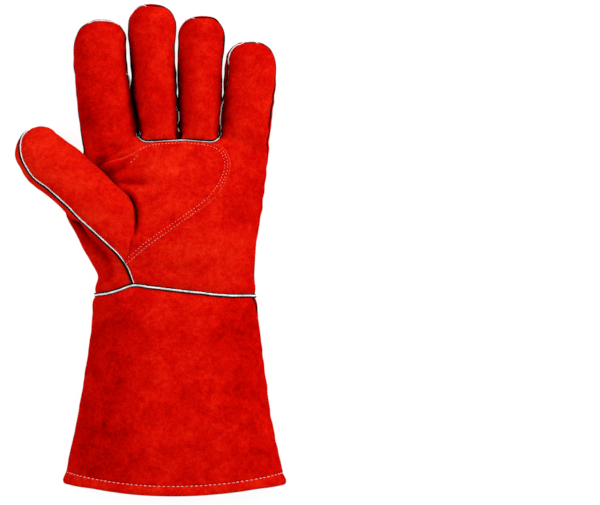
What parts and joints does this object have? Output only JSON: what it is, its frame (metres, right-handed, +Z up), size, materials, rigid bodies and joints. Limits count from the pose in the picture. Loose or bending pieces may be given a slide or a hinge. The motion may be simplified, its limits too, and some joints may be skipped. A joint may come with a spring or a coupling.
{
  "type": "leather work gauntlet",
  "caption": "Split-leather work gauntlet for the left hand, with a slanted thumb, piped seams, a stitched palm patch and a long flared cuff.",
  "frame": {"origin": "on the table under the middle of the glove's box", "axes": "+X across the palm away from the thumb, +Y towards the fingertips, +Z up out of the palm"},
  "size_m": [0.1954, 0.3565, 0.0459],
  "materials": {
    "suede": "bright red cowhide split with a short mottled nap",
    "piping": "white coated welting, slightly grey where it is handled",
    "piping_black": "black leather strip folded into the seam",
    "thread": "white twisted sewing thread",
    "suede_inside": "unlined flesh side of the split, darker and rougher"
  },
  "bodies": {
    "root": {"palm": "suede", "middle_finger_front": "suede", "ring_finger_front": "suede", "back": "suede", "thumb_front": "suede", "thumb_back": "suede", "palm_patch": "suede", "cuff": "suede", "hem": "suede", "finger_welt": "piping", "knuckle_welt": "piping", "thumb_welt": "piping", "thumb_root_welt": "piping", "wrist_welt": "piping", "cuff_seam_welt": "piping_black"}
  },
  "joints": []
}
